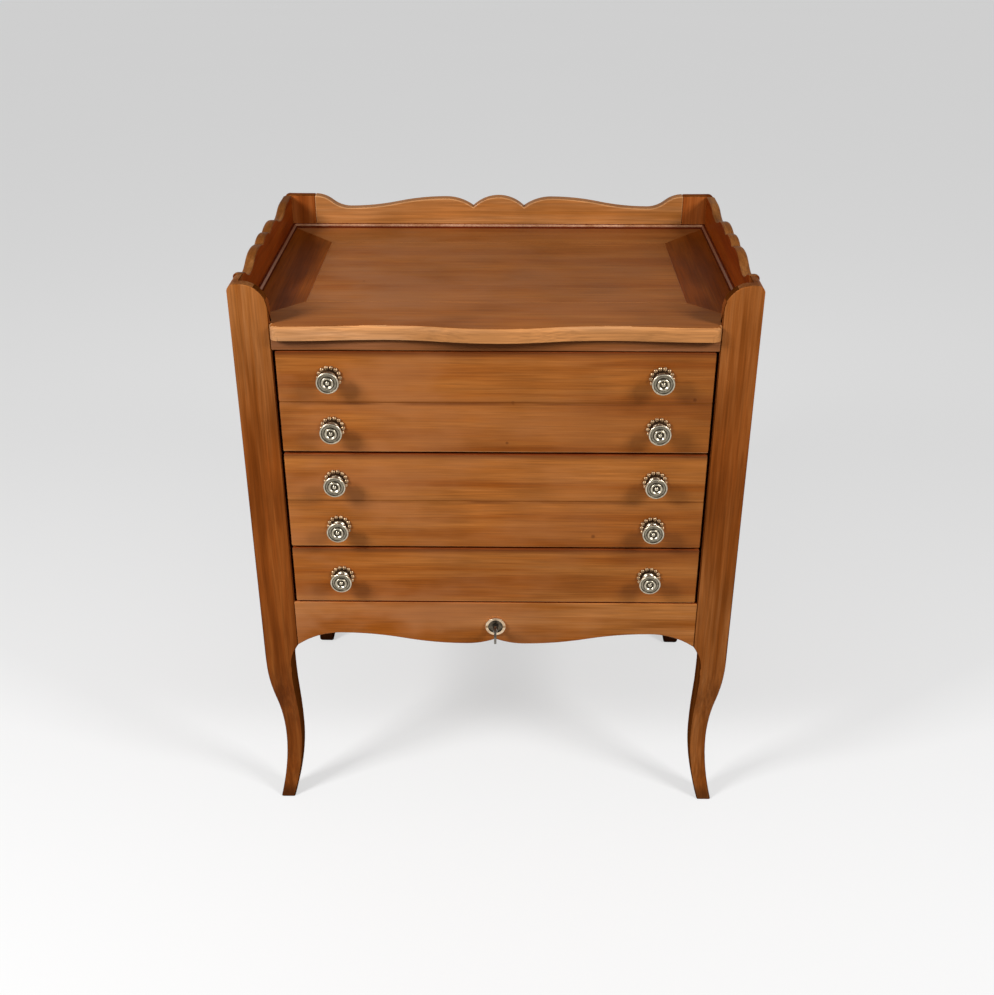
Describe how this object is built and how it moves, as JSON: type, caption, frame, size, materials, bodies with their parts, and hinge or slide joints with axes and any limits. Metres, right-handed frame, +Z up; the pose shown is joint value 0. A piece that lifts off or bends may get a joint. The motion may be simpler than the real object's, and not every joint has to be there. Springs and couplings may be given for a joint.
{
  "type": "chest of drawers",
  "caption": "Small honey-coloured wooden chest of drawers on curved legs, with scored drawer fronts, round metal knobs, a lock with its key, and a scalloped gallery round the top.",
  "frame": {"origin": "on the floor, at the middle of the box round the whole piece, knobs and key included", "axes": "+Z up, the drawers face -Y, +X to the right of someone facing the drawers"},
  "size_m": [0.54, 0.395, 0.669],
  "materials": {
    "post_wood": "waxed",
    "side_wood": "waxed",
    "gallery_wood": "waxed",
    "bead_wood": "waxed",
    "board_wood": "waxed",
    "border_wood": "waxed",
    "front_wood": "waxed",
    "inner_wood": "plain",
    "back_wood": "plain",
    "aged_brass": "aged",
    "steel": "worn"
  },
  "bodies": {
    "carcass": {"front_left_post": "post_wood", "front_right_post": "post_wood", "rear_left_post": "post_wood", "rear_right_post": "post_wood", "left_side_panel": "side_wood", "left_apron": "side_wood", "left_gallery": "gallery_wood", "left_bead": "bead_wood", "right_side_panel": "side_wood", "right_apron": "side_wood", "right_gallery": "gallery_wood", "right_bead": "bead_wood", "back_panel": "back_wood", "rear_rail": "back_wood", "back_gallery": "gallery_wood", "back_bead": "bead_wood", "top_board": "board_wood", "top_front_border": "board_wood", "top_back_border": "board_wood", "top_left_border": "border_wood", "top_right_border": "border_wood", "top_rail": "front_wood", "front_apron": "front_wood", "top_left_runner": "inner_wood", "top_right_runner": "inner_wood", "middle_left_runner": "inner_wood", "middle_right_runner": "inner_wood", "bottom_left_runner": "inner_wood", "bottom_right_runner": "inner_wood", "drawer_stops": "inner_wood", "lock_case": "steel", "lock_screws": "steel", "escutcheon": "aged_brass", "escutcheon_pins": "aged_brass"},
    "top_drawer": {"top_drawer_front": "front_wood", "top_drawer_left_side": "inner_wood", "top_drawer_right_side": "inner_wood", "top_drawer_back": "inner_wood", "top_drawer_bottom": "inner_wood", "top_drawer_knobs": "aged_brass", "top_drawer_knob_plates": "aged_brass", "top_drawer_knob_screws": "steel"},
    "middle_drawer": {"middle_drawer_front": "front_wood", "middle_drawer_left_side": "inner_wood", "middle_drawer_right_side": "inner_wood", "middle_drawer_back": "inner_wood", "middle_drawer_bottom": "inner_wood", "middle_drawer_knobs": "aged_brass", "middle_drawer_knob_plates": "aged_brass", "middle_drawer_knob_screws": "steel"},
    "bottom_drawer": {"bottom_drawer_front": "front_wood", "bottom_drawer_left_side": "inner_wood", "bottom_drawer_right_side": "inner_wood", "bottom_drawer_back": "inner_wood", "bottom_drawer_bottom": "inner_wood", "bottom_drawer_knobs": "aged_brass", "bottom_drawer_knob_plates": "aged_brass", "bottom_drawer_knob_screws": "steel"},
    "key": {"key": "steel"},
    "bolt": {"lock_bolt": "steel"}
  },
  "joints": [
    {"name": "top_drawer_slide", "type": "slide", "parent": "carcass", "child": "top_drawer", "axis": [0, -1, 0], "range_m": [0, 0.24]},
    {"name": "middle_drawer_slide", "type": "slide", "parent": "carcass", "child": "middle_drawer", "axis": [0, -1, 0], "range_m": [0, 0.24]},
    {"name": "bottom_drawer_slide", "type": "slide", "parent": "carcass", "child": "bottom_drawer", "axis": [0, -1, 0], "range_m": [0, 0.24]},
    {"name": "key_turn", "type": "hinge", "parent": "carcass", "child": "key", "pos_m": [0, -0.1675, 0.2605], "axis": [0, 1, 0], "range_deg": [0, 180]},
    {"name": "bolt_slide", "type": "slide", "parent": "carcass", "child": "bolt", "axis": [0, 0, 1], "range_m": [0, 0.00801]}
  ],
  "couplings": [
    {"joint": "bolt_slide", "follows": "key_turn", "m_per_rad": 0.0025465}
  ]
}
